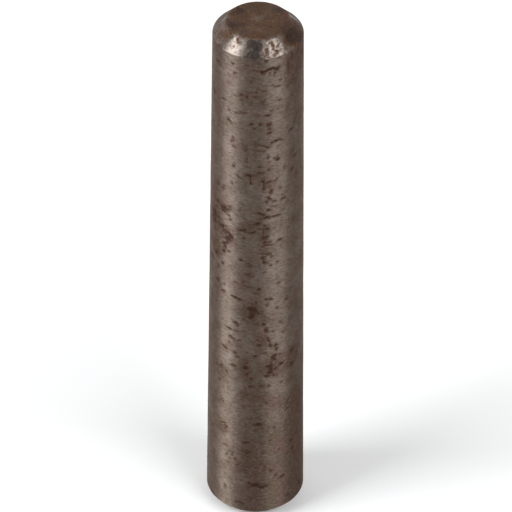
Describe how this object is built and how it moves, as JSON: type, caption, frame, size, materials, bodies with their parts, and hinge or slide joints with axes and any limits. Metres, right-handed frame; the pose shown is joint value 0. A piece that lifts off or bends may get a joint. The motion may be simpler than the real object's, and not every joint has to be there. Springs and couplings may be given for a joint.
{
  "type": "taper pin",
  "caption": "Plain solid steel taper pin, a slim cone chamfered at both ends, that locks a hub to a shaft through a reamed cross hole.",
  "frame": {"origin": "centre of the large end's flat face, on which the pin stands", "axes": "+Z along the pin's axis from the large end to the small end; the pin is round, so X and Y are any two square directions across it"},
  "size_m": [0.009, 0.009, 0.055],
  "materials": {
    "oxidised_steel": "turned steel with a brown oxide film and rust specks"
  },
  "bodies": {
    "root": {"taper_pin": "oxidised_steel"}
  },
  "joints": []
}
